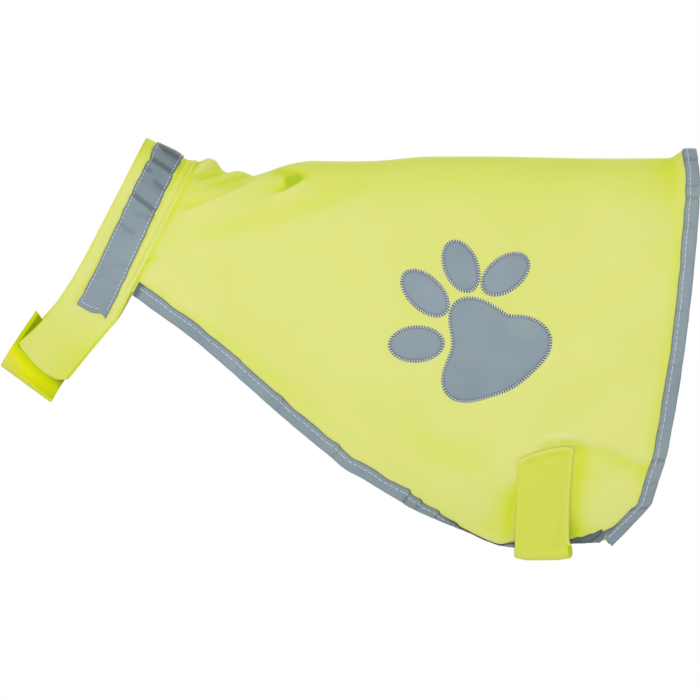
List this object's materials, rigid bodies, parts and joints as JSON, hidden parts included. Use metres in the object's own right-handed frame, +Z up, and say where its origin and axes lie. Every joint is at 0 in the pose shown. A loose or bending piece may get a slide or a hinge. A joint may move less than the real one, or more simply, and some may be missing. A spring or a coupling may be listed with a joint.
{
  "type": "dog safety vest",
  "caption": "High-visibility dog vest, a back panel with a neck band that closes at the throat, a belly strap, reflective bindings and a reflective paw on one flank.",
  "frame": {"origin": "on the inside of the back panel, on the spine line, where the wearer's back carries the vest", "axes": "+X toward the tail, -X toward the head, -Y the wearer's left side, +Z up"},
  "size_m": [0.5941, 0.1749, 0.3588],
  "materials": {
    "yellow_cloth": "fluorescent yellow plain-weave polyester, matt with a soft sheen",
    "loop_pile": "bright yellow loop-fastener pile, matt and fuzzy",
    "reflective_tape": "blue-grey retroreflective tape, satin, stitched in white"
  },
  "bodies": {
    "root": {"back_panel": "yellow_cloth", "neck_band": "yellow_cloth", "neck_loop_tape": "loop_pile", "neck_tape": "reflective_tape", "hem_binding_left": "reflective_tape", "hem_binding_right": "reflective_tape", "rear_binding": "reflective_tape", "belly_strap": "yellow_cloth", "paw_toe_1": "reflective_tape", "paw_toe_2": "reflective_tape", "paw_toe_3": "reflective_tape", "paw_toe_4": "reflective_tape", "paw_pad": "reflective_tape"}
  },
  "joints": []
}
